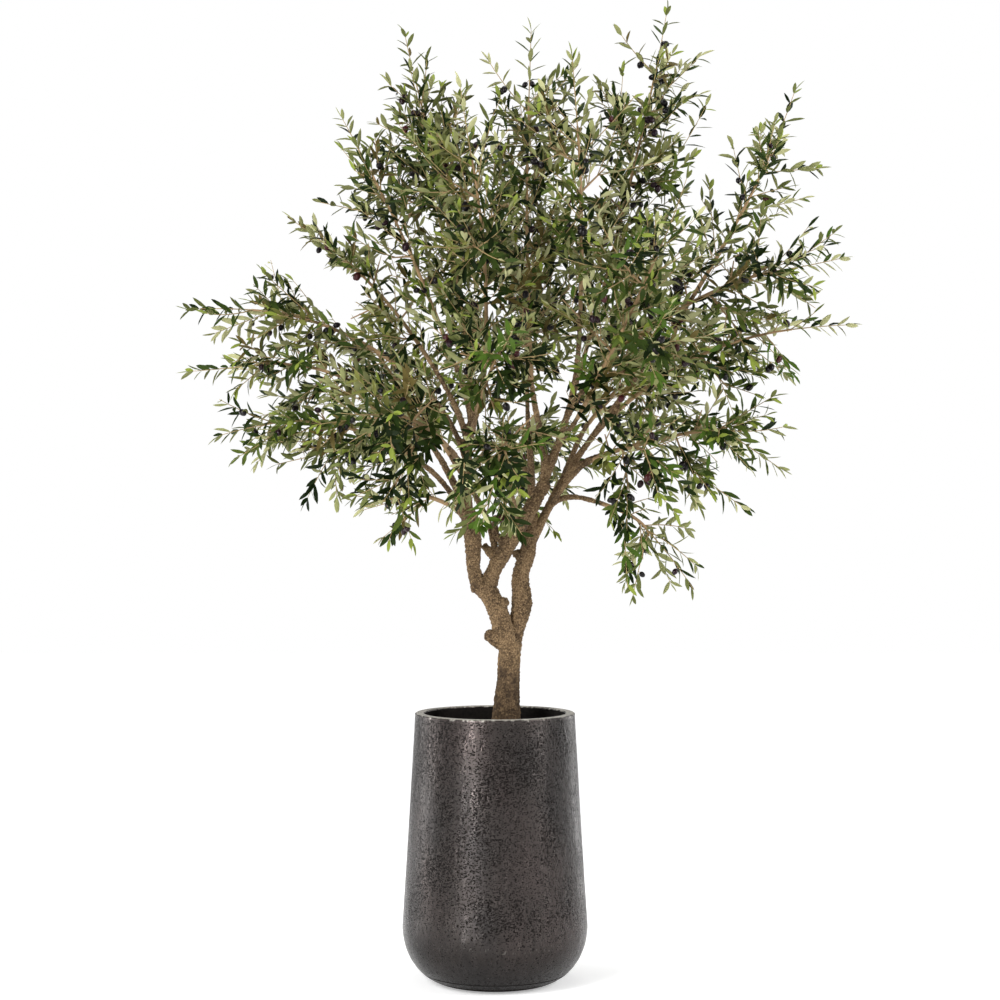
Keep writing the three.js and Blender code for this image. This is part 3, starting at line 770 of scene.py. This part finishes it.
def bark_relief(mesh, depth):
    """Pushes a mesh's points out and in along their normals, and keeps the relief, from which the bark's
    material paints shade into the hollows and highlights onto the raised lumps.
    """
    places = point_values(mesh, "co")
    pebbles = noises(places * (240, 240, 260))
    wrinkles = noises(places * (80, 80, 110) + (0, 0, 9))
    lumps = noises(places * (24, 24, 16))
    relief = np.clip(0.5 + 0.4 * pebbles + 0.34 * wrinkles + 0.36 * lumps, 0, 1)
    places += point_values(mesh, "normal") * ((relief - 0.5) * depth * MM)[:, None]
    moved_points(mesh, places, relief=relief, height=places[:, 2])


def remeshed(name, parts, voxel, smoothing, material):
    """One even skin over all the parts, with fillets where they meet."""
    rough = mesh_piece(name + "_rough", *joined(parts), [])
    skin = rough.modifiers.new("skin", "REMESH")
    skin.mode, skin.voxel_size = "VOXEL", voxel * MM
    soft = rough.modifiers.new("soft", "SMOOTH")
    soft.factor, soft.iterations = 0.5, smoothing
    depsgraph = bpy.context.evaluated_depsgraph_get()
    mesh = bpy.data.meshes.new_from_object(rough.evaluated_get(depsgraph))
    bpy.data.objects.remove(rough)
    mesh.name = name
    mesh.materials.clear()
    mesh.materials.append(material)
    mesh.shade_smooth()
    return new_object(name, mesh)


def build_bark(limbs):
    """One skin over the bare lower limbs, and a coarser one over the boughs."""
    material = bark_material()
    lower = [tube(limbs[name], 20, 30) for name in LOWER_LIMBS]
    lower += [tube(lower_limb(stations), 16, 6) for stations in STUBS]
    boughs = [tube(limbs[name], 12, 36) for name in BOUGHS]
    for name, parts, nodes, voxel, smoothing, depth in (("trunk_bark", lower, LOWER_LIMBS, 2.1, 6, 7),
                                                        ("bough_bark", boughs, BOUGHS, 3.6, 3, 4)):
        piece = remeshed(name, parts, voxel, smoothing, material)
        bark_relief(piece.data, depth)
        stands_for(piece, nodes)


# Leaves

# Places along a leaf, and the share of its width that it has there
LEAF_STATIONS = np.array([[0.18], [0.48], [0.8]])
LEAF_OUTLINE = np.array([[0.62], [1.0], [0.66]])
# Middle and spread of its arch, limits of its fold, and spread of its twist
LEAF_ARCH = (0.1, 0.09)
LEAF_FOLD = (0.12, 0.42)
LEAF_TWIST = 0.25


def leaf_pattern():
    """Faces of one leaf, those of its upper side first. Its points are root, tip, then four rows."""
    count = len(LEAF_STATIONS)
    left, right, upper, lower = (2 + count * k + np.arange(count) for k in range(4))
    quads, triangles = [], []
    for middle, edges in ((upper, (left, right)), (lower, (right, left))):
        for edge, way in zip(edges, (-1, 1)):
            quads += [[edge[k], middle[k], middle[k + 1], edge[k + 1]][::way] for k in range(count - 1)]
            triangles += [[0, middle[0], edge[0]][::way], [1, edge[-1], middle[-1]][::way]]
    return np.array(quads), np.array(triangles)


def leaf_vertices(leaves, rng):
    """Points of all leaves: a folded, arched and slightly twisted blade each."""
    root, direction, normal = (leaves[:, None, k:k + 3] for k in (0, 3, 6))
    length, width = leaves[:, None, 9:10], leaves[:, None, 10:11]
    arch = rng.normal(*LEAF_ARCH, length.shape)
    fold = rng.uniform(*LEAF_FOLD, length.shape)
    twist = rng.normal(0, LEAF_TWIST, length.shape) * LEAF_STATIONS
    half = width / 2 * LEAF_OUTLINE
    centre = root + length * (direction * LEAF_STATIONS - normal * arch * LEAF_STATIONS**2)
    turned = np.cross(normal, direction) * np.cos(twist) + normal * np.sin(twist)
    left, right = (centre + turned * half * way + normal * half * fold for way in (-1, 1))
    upper, lower = (centre + normal * LEAF_THICKNESS / 2 * way for way in (1, -1))
    tip = root + length * (direction - normal * arch)
    return np.concatenate([root, tip, left, right, upper, lower], axis=1)


def build_leaves(name, leaves, shades, materials, nodes, rng):
    """One piece of joined leaves. Each leaf's two shades are slots of the materials."""
    pattern = leaf_pattern()
    vertices = leaf_vertices(leaves, rng)
    count, points = vertices.shape[:2]
    offsets = np.arange(count)[:, None, None] * points
    faces = [(kind + offsets).reshape(-1, kind.shape[1]) for kind in pattern]
    slots = np.concatenate([shades.repeat(len(kind) // 2, axis=1).ravel() for kind in pattern])
    piece = mesh_piece(name, vertices.reshape(-1, 3), faces, materials, slots)
    mesh = piece.data
    edges = np.zeros(len(mesh.edges) * 2, np.int32)
    mesh.edges.foreach_get("vertices", edges)
    rim = (edges.reshape(-1, 2) % points < 2 + 2 * len(LEAF_STATIONS)).all(axis=1)
    mesh.attributes.new("sharp_edge", "BOOLEAN", "EDGE").data.foreach_set("value", rim)
    stands_for(piece, nodes)


# Upper sides: four greens from dark to pale, and three more. Then fresh tips and undersides
UPPER_SHADES = [(18, 29, 8), (30, 43, 13), (46, 60, 22), (72, 85, 35), (100, 102, 52), (84, 74, 40),
                (62, 84, 28)]
OLIVE_SHADE, BROWN_SHADE, CLEAR_SHADE = 4, 5, 6
FRESH_SHADE = (116, 128, 54)
UNDER_SHADES = [(92, 98, 56), (132, 135, 90), (168, 168, 124)]


def leaf_materials():
    looks = (("upper", [*UPPER_SHADES, FRESH_SHADE], 0.5, 0.05), ("under", UNDER_SHADES, 0.75, 0.04))
    return [plain_material(f"leaf_{side}_{k}", srgb(*shade), roughness, Specular_IOR_Level=shine)
            for side, shades, roughness, shine in looks for k, shade in enumerate(shades, 1)]


def shoot_shades(shoot):
    """Which upper and under shade a shoot's leaves take, by where it is and by its own draws."""
    x, _, z = shoot.place
    brown = 0.25 + 0.35 * np.clip((z - 1900) / 900, -1, 1) - 0.2 * np.clip(x / 700, -1, 1)
    lighter = np.clip((abs(x) - 350) / 300, 0, 1) * np.clip((2500 - z) / 300, 0, 1)
    darker = np.clip((z - 2050) / 300, 0, 1) * np.clip(-x / 250, 0, 1)
    green = 0.12 * np.clip((2300 - z) / 300, 0, 1) * np.clip((x + 200) / 200, 0, 1)
    pick = shoot.draw[0]
    if pick > 1 - green:
        upper = CLEAR_SHADE
    elif pick < brown * 0.6:
        upper = BROWN_SHADE if pick < brown * (0.3 + 0.15 * darker) else OLIVE_SHADE
    else:
        even = (pick - brown * 0.6) / (1 - brown * 0.6)
        upper = int(np.clip(even**1.25 * 4 + 0.6 * lighter - darker, 0, 3.99))
    under = int(shoot.draw[1] * len(UNDER_SHADES) * (1 - 0.45 * darker))
    return upper, len(UPPER_SHADES) + 1 + under


# Olives and the whole of the foliage

def build_olives(bunches, nodes, rng):
    """All olives as one piece. Their stalks are joined to the shoots later."""
    body, *body_faces = ball(14, 9)
    fruit, stalks, shades = [], [], []
    for node, tangent in bunches:
        shade = rng.choice(3, p=RIPENESS)
        for k in range(rng.choice([1, 2, 3], p=BUNCHES_OF)):
            turn = k * 2.2 + rng.uniform(0, 2 * math.pi)
            hang = unit(aside(tangent, turn) - UP * rng.uniform(*OLIVE_HANG))
            top = node + hang * rng.uniform(*STALK_LENGTHS)
            side, front = across(hang)
            size = OLIVE_RADIUS * rng.uniform(*OLIVE_SIZES)
            egg = 1 + 0.1 * body[:, 2:3]
            shape = (body[:, 0:1] * side + body[:, 1:2] * front) * egg - body[:, 2:3] * hang * OLIVE_STRETCH
            centre = top + hang * size * OLIVE_STRETCH * 0.96
            fruit.append((centre + shape * size, *body_faces))
            shades.append(shade)
            stalks.append(tube(Limb(bezier(node, (node + top) / 2 + UP, top + hang * 2), STALK_RADII), 4, 3))
    looks = (("olive_black", (14, 9, 12), 0.3), ("olive_aubergine", (30, 13, 20), 0.3),
             ("olive_ripening", (56, 20, 22), 0.34))
    materials = [plain_material(name, srgb(*colour), roughness, Specular_IOR_Level=0.22)
                 for name, colour, roughness in looks]
    slots = np.concatenate([np.repeat(shades, len(kind)) for kind in body_faces])
    piece = mesh_piece("olives", *joined(fruit), materials, slots)
    stands_for(piece, nodes)
    return stalks


def build_foliage(limbs):
    crown = Crown(limbs)
    wood, thin_wood, bunches, batches = [], [], [], []
    for mass in crown.masses:
        twigs, sprays = grow_twigs(mass, crown)
        wood.append(tube(Limb(mass.stem.point, STEM_RADII), 8, 14))
        wood += [tube(twig, 6, 6) for twig in twigs]
        rng = np.random.default_rng(SHOOTS_SEED + mass.index)
        leaves, slots = [], []
        for shoot in grow_shoots(mass, crown, twigs, sprays, rng):
            thin_wood.append(tube(shoot.limb, 4, 6))
            rows = shoot_leaves(mass, crown, shoot, rng)
            upper, under = shoot_shades(shoot)
            fresh = (rows[:, 11] > 0.5) & (shoot.draw[1] < FRESH_SHARE)
            leaves.append(rows)
            uppers = np.where(fresh, len(UPPER_SHADES), upper)
            slots.append(np.column_stack([uppers, np.full(len(rows), under)]))
            if rng.random() < OLIVE_SHARE:
                bunches.append(shoot.limb.at(rng.uniform(0.25, 0.75)))
        leaves, slots = np.vstack(leaves), np.vstack(slots)
        if not batches or sum(len(rows) for rows, *_ in batches[-1]) + len(leaves) > LEAVES_IN_PIECE:
            batches.append([])
        batches[-1].append((leaves, slots, mass.name))
    materials = leaf_materials()
    for number, batch in enumerate(batches, 1):
        leaves, slots, nodes = zip(*batch)
        rng = np.random.default_rng(LEAVES_SEED + number)
        build_leaves(f"leaves_{number}", np.vstack(leaves), np.vstack(slots), materials, nodes, rng)
    nodes = [mass.name for mass in crown.masses]
    stalks = build_olives(bunches, nodes, np.random.default_rng(OLIVES_SEED))
    thick = plain_material("twig_wood", srgb(140, 114, 80), 0.8)
    thin = plain_material("shoot_wood", srgb(150, 128, 86), 0.7)
    for name, parts, material in (("twigs", wood, thick), ("shoots", thin_wood + stalks, thin)):
        piece = mesh_piece(name, *joined(parts), [material])
        stands_for(piece, nodes)


# Planter and fill

RIM_HEIGHT = 805
RIM_RADIUS = 240
RIM_EDGE = 4
WALL = 29
MIDDLE_HEIGHT = 482
MIDDLE_RADIUS = 258
BELLY_HEIGHT = 170
BELLY_RADIUS = 278
FOOT_RADIUS = 140
FLECKS_HEIGHT = 142
FLECKS_SPREAD = 9
FLOOR_THICKNESS = 30
PIT_DEPTH = 1.1
PLANTER_SIDES = 460
PLANTER_STEP = 4.6
FILL_SIDES, FILL_RINGS = 180, 60
FILL_SEED = 31
CHIPS = 900


def arc_points(centre, radii, first, last):
    """Points on a quarter of an ellipse in the planter's outline, at even steps."""
    count = max(2, round(math.hypot(*radii) / PLANTER_STEP / 1.2))
    angles = np.linspace(first, last, count)
    return np.column_stack([centre[0] + radii[0] * np.cos(angles), centre[1] + radii[1] * np.sin(angles)])


def planter_outline():
    """The outline in radius and height, from the underside up the outside and down the inside."""
    inner, rim, quarter = RIM_RADIUS - WALL, RIM_HEIGHT - RIM_EDGE, math.pi / 2
    belly = arc_points((FOOT_RADIUS, BELLY_HEIGHT), (BELLY_RADIUS - FOOT_RADIUS, BELLY_HEIGHT), -quarter, 0)
    control = (2 * MIDDLE_RADIUS - (BELLY_RADIUS + RIM_RADIUS) / 2, MIDDLE_HEIGHT)
    wall = bezier((BELLY_RADIUS, BELLY_HEIGHT), control, (RIM_RADIUS, rim))
    wall = wall(np.linspace(0, 1, round((RIM_HEIGHT - BELLY_HEIGHT) / PLANTER_STEP)))[1:]
    lip = arc_points((RIM_RADIUS - RIM_EDGE, rim), (RIM_EDGE, RIM_EDGE), 0.4, quarter)
    inner_lip = arc_points((inner + RIM_EDGE, rim), (RIM_EDGE, RIM_EDGE), quarter, math.pi)
    top = [(radius, RIM_HEIGHT) for radius in np.linspace(RIM_RADIUS - RIM_EDGE, inner + RIM_EDGE, 6)[1:-1]]
    down = [(inner, 780), (inner, 760), (inner + 1, FILL_HEIGHT - 4), (MIDDLE_RADIUS - WALL, MIDDLE_HEIGHT),
            (BELLY_RADIUS - WALL, BELLY_HEIGHT), (FOOT_RADIUS, FLOOR_THICKNESS)]
    return np.vstack([(FOOT_RADIUS * 0.5, 0), belly, wall, lip, top, inner_lip, down])


def planter_material():
    material = plain_material("planter_metal", srgb(62, 57, 55), 0.38, Metallic=0.9)
    nodes = Nodes(material)
    tint = nodes.noise(5, 4, (1, 1, 0.5))
    colour = nodes.ramp(tint, [(0.38, (64, 61, 60)), (0.52, (70, 65, 63)), (0.66, (76, 69, 67))])
    brushed = nodes.noise(60, 3, (1, 1, 0.12), 0.6)
    colour = nodes.mix(nodes.scaled(brushed, 0.35, 0.6, 0.28, 0), colour, (44, 40, 39))
    dashes = nodes.noise(180, 2, (1, 1, 1.7), 0.5)
    crowd = nodes.scaled(nodes.attribute("crowd"), 0, 1, 0.4, 0.5)
    pit = nodes.scaled(nodes.math("SUBTRACT", crowd, dashes), 0, 0.05, 0, 1)
    worn, height = nodes.attribute("worn"), nodes.attribute("height")
    colour = nodes.mix(nodes.math("MULTIPLY", pit, 0.94), colour, (14, 11, 10))
    colour = nodes.mix(nodes.scaled(nodes.attribute("pit"), 0.15, 0.8, 0, 0.85), colour, (22, 18, 17))
    colour = nodes.mix(nodes.scaled(worn, 0.2, 0.9, 0, 1), colour, (178, 174, 166))
    # Painted shade: the colour darkens towards the bottom, standing in for the dark floor that the lower
    # belly reflects. Metal and gloss fade out there too.
    colour = nodes.mix(nodes.scaled(height, 0.03, 0.2, 0.94, 0), colour, (20, 17, 16))
    metal = nodes.math("MULTIPLY", nodes.scaled(worn, 0.2, 0.9, 0.9, 0.1),
                       nodes.scaled(height, 0.012, 0.12, 0, 1))
    bare = nodes.scaled(pit, 0, 1, 1, 0.1)
    gloss = nodes.scaled(height, 0.012, 0.14, 0, 0.5)
    dents = nodes.bump(nodes.math("MULTIPLY", pit, -1.0), 0.9, 0.002)
    nodes.feed(Base_Color=colour, Roughness=nodes.scaled(brushed, 0.3, 0.7, 0.37, 0.22),
               Metallic=nodes.math("MULTIPLY", metal, bare),
               Specular_IOR_Level=nodes.math("MULTIPLY", gloss, bare),
               Normal=nodes.bump(nodes.noise(240, 3, (1, 1, 1.6)), 0.35, 0.0016, Normal=dents))
    return material


def build_planter():
    vertices, *faces = lathe(planter_outline(), PLANTER_SIDES)
    radius, height = np.hypot(vertices[:, 0], vertices[:, 1]), vertices[:, 2]
    within = (radius < RIM_RADIUS - WALL / 2) & (height > FLOOR_THICKNESS - 1) & (height < RIM_HEIGHT - 1)
    slots = np.concatenate([within[kind].all(axis=1) for kind in faces]).astype(int)
    inside = grainy_material("planter_inside", srgb(16, 13, 12), 0.9, (120, 4),
                             [(0.35, (9, 7, 6)), (0.65, (20, 17, 15))], (0.3, 0.001), Specular_IOR_Level=0.1)
    piece = mesh_piece("planter_shell", vertices, faces, [planter_material(), inside], slots)
    bare = np.where((height > RIM_HEIGHT - 1.5) & (radius < RIM_RADIUS - 1.5), 1, -0.15)
    rim_wear = np.clip(bare + 1.6 * noises(vertices / (9, 9, 5)), bare * 0.8, 1)
    flecks = (abs(height - FLECKS_HEIGHT) < FLECKS_SPREAD) & (radius > BELLY_RADIUS - 15)
    fleck_wear = flecks * np.clip(1.7 * noises(vertices / (5, 5, 3)) - 0.3, 0, 0.34)
    worn = np.where(height > RIM_HEIGHT - 6, rim_wear, fleck_wear)
    wall = ~within & (height >= 3) & (height <= RIM_HEIGHT - 8)
    low = np.clip((height - 120) / 110, 0.35, 1)
    crowd = wall * np.clip(0.72 + 0.5 * noises(vertices / (90, 90, 140)), 0, 1) * low
    dashes = noises(vertices / (6.5, 6.5, 4.2) + (0, 0, 40))
    pit = np.clip((dashes - 0.34 + 0.24 * crowd) / 0.2, 0, 1) * crowd
    hammer = wall * (0.4 * noises(vertices / (24, 24, 18)) - 0.4) * np.minimum(1, height / 60)
    places = vertices + point_values(piece.data, "normal") * (hammer - PIT_DEPTH * pit)[:, None]
    moved_points(piece.data, places * MM, pit=pit, worn=worn, crowd=crowd, height=height * MM)
    stands_for(piece, ["planter"])


def build_fill():
    """Dark ballast with an uneven top, strewn with small chips."""
    rng = np.random.default_rng(FILL_SEED)
    radius = RIM_RADIUS - WALL + 0.5
    rings = np.linspace(radius, 2, FILL_RINGS)
    outline = np.column_stack([rings, np.full(FILL_RINGS, FILL_HEIGHT)])
    outline = np.vstack([(radius - 6, FILL_HEIGHT - 60), outline])
    vertices, *faces = lathe(outline, FILL_SIDES)
    for vertex in vertices[FILL_SIDES:-2]:
        bumps = noise.fractal(Vector((vertex[0] / 22, vertex[1] / 22, 3)), 0.8, 2.0, 4)
        vertex[2] += 4 * bumps - 3
    body, *body_faces = ball(7, 5)
    chips = []
    for _ in range(CHIPS):
        away = math.sqrt(rng.uniform(0.05, 0.98)) * (radius - 8)
        turn = rng.uniform(0, 2 * math.pi)
        size = rng.uniform(2.5, 7) * np.array([1.6, 1, 0.6])
        spin = rng.uniform(0, math.pi)
        shape = body * size * rng.uniform(0.8, 1.2, body.shape)
        spun = (shape[:, 0] + 1j * shape[:, 1]) * np.exp(1j * spin)
        place = (away * math.cos(turn), away * math.sin(turn), FILL_HEIGHT - 1)
        chips.append((np.column_stack([spun.real, spun.imag, shape[:, 2]]) + place, *body_faces))
    ground = grainy_material("fill_ground", srgb(46, 38, 30), 1.0, (260, 5),
                             [(0.35, (24, 19, 15)), (0.55, (52, 43, 34)), (0.75, (82, 70, 56))],
                             (0.8, 0.002))
    chip = plain_material("fill_chips", srgb(70, 54, 40), 0.9)
    for piece in (mesh_piece("fill_ground", vertices, faces, [ground]),
                  mesh_piece("fill_chips", *joined(chips), [chip], smooth=False)):
        stands_for(piece, ["fill"])


# Camera, light and floor

SKY_LIGHT = 0.26
# Between these metres off, the floor's glow grows, so that it ends in plain white
FLOOR_SPREAD = (2.5, 7.5)
FLOOR_GLOWS = (0.34, 0.82)
FLOOR_REACH = 14000
# Each light's name, place, target and size in metres, and power
STUDIO_LIGHTS = [
    ("key", (-3.2, -4.6, 4.0), (0, 0, 1.7), (1.6, 2.4), 325),
    ("side", (4.4, -2.0, 2.8), (0, 0, 1.5), (1.0, 2.6), 205),
    ("top", (0.4, 0.6, 5.8), (0, 0, 2.0), (2.4, 2.4), 130),
    ("left_strip", (-2.06, -3.43, 0.9), (0, 0, 0.45), (0.12, 1.7), 50),
    ("left_box", (-3.4, 0.9, 1.2), (0, 0, 0.7), (2.0, 2.4), 60),
    ("right_box", (2.6, 2.3, 1.2), (0, 0, 0.7), (0.9, 2.4), 22),
]


def build_camera():
    camera = new_object("camera", bpy.data.cameras.new("camera"))
    camera.data.sensor_width = SENSOR_WIDTH
    camera.data.lens = SENSOR_WIDTH * -CAMERA_PLACE[1] / PICTURE_WIDTH
    camera.location = Vector(CAMERA_PLACE) * MM
    camera.rotation_euler = (math.pi / 2, 0, 0)
    bpy.context.scene.camera = camera


def area_light(name, place, target, size, power):
    light = bpy.data.lights.new(name, "AREA")
    light.shape = "RECTANGLE"
    light.size, light.size_y, light.energy = *size, power
    lamp = new_object(name, light)
    lamp.location = place
    lamp.rotation_euler = (Vector(target) - Vector(place)).to_track_quat("-Z", "Y").to_euler()


def build_stage():
    world = bpy.data.worlds.new("studio")
    world.use_nodes = True
    nodes = Nodes(world)
    seen, light = nodes.tree.nodes["Background"], nodes.add("ShaderNodeBackground")
    for background, strength in ((seen, 1.0), (light, SKY_LIGHT)):
        background.inputs["Color"].default_value = (1, 1, 1, 1)
        background.inputs["Strength"].default_value = strength
    camera_ray = nodes.add("ShaderNodeLightPath").outputs["Is Camera Ray"]
    either = nodes.add("ShaderNodeMixShader", {0: camera_ray, 1: light.outputs[0], 2: seen.outputs[0]})
    nodes.tree.links.new(either.outputs[0], nodes.tree.nodes["World Output"].inputs["Surface"])
    bpy.context.scene.world = world
    for light_row in STUDIO_LIGHTS:
        area_light(*light_row)
    look = plain_material("floor", (0.9, 0.9, 0.9, 1), 0.8, Emission_Color=(1, 1, 1, 1))
    nodes = Nodes(look)
    place = nodes.add("ShaderNodeTexCoord").outputs["Object"]
    away = nodes.add("ShaderNodeVectorMath", {0: place}, operation="LENGTH").outputs["Value"]
    nodes.feed(Emission_Strength=nodes.scaled(away, *FLOOR_SPREAD, *FLOOR_GLOWS))
    corners = [(x * FLOOR_REACH, y * FLOOR_REACH, 0) for x, y in ((-1, -1), (1, -1), (1, 1), (-1, 1))]
    mesh_piece("floor", corners, [np.array([[0, 1, 2, 3]])], [look])
    bpy.context.scene.view_settings.view_transform = "Standard"


build_camera()
build_stage()
tree_limbs = grow_limbs()
build_bark(tree_limbs)
build_foliage(tree_limbs)
build_planter()
build_fill()
